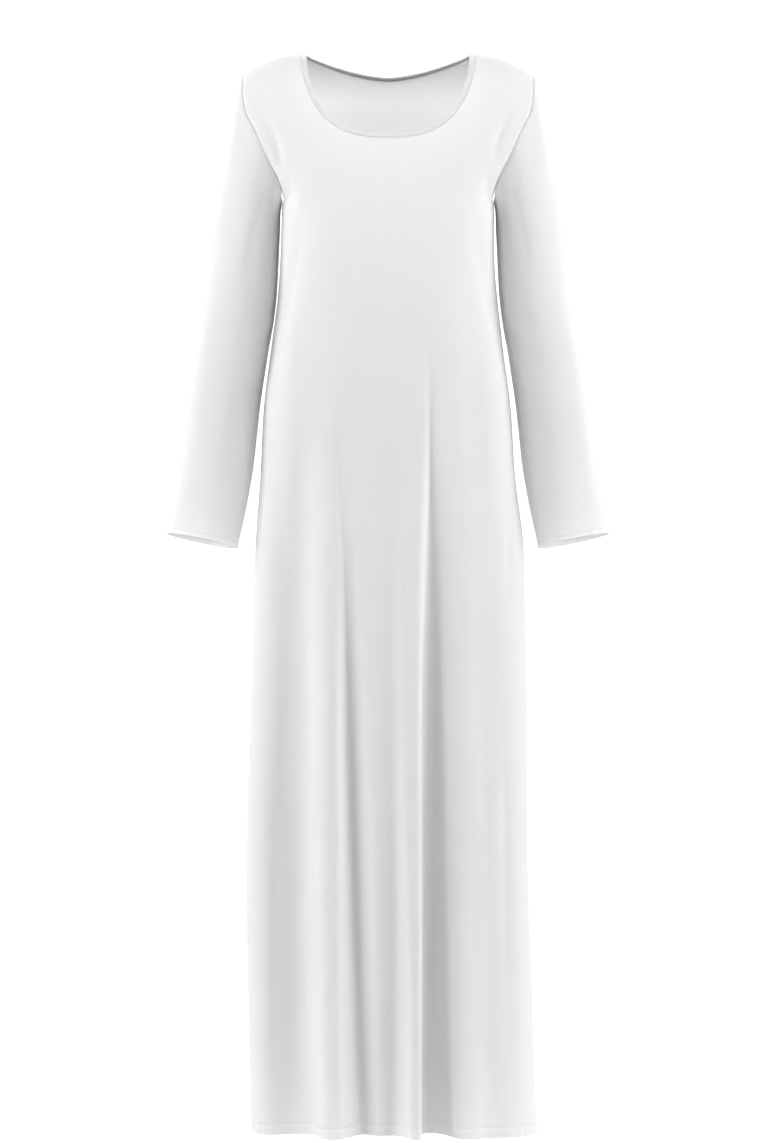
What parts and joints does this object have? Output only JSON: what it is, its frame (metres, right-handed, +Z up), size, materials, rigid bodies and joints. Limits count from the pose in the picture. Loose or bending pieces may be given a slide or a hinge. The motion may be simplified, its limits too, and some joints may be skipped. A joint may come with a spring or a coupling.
{
  "type": "abaya",
  "caption": "Plain white ankle-length abaya with long set-in sleeves and a wide scooped neck, hollow and filled out as when worn.",
  "frame": {"origin": "midway between the neck ends of the two shoulder seams, where the wearer's shoulders carry the garment", "axes": "+Z up along the body, -Y out of the front, +X towards the sleeve on the right of the front view"},
  "size_m": [0.5758, 0.2728, 1.4014],
  "materials": {
    "cloth": "smooth white woven cloth with a soft matt surface",
    "binding": "the same white cloth cut on the bias and rolled, a little brighter on its curve"
  },
  "bodies": {
    "root": {"front_panel": "cloth", "back_panel": "cloth", "left_sleeve": "cloth", "right_sleeve": "cloth", "neck_binding": "binding"}
  },
  "joints": []
}
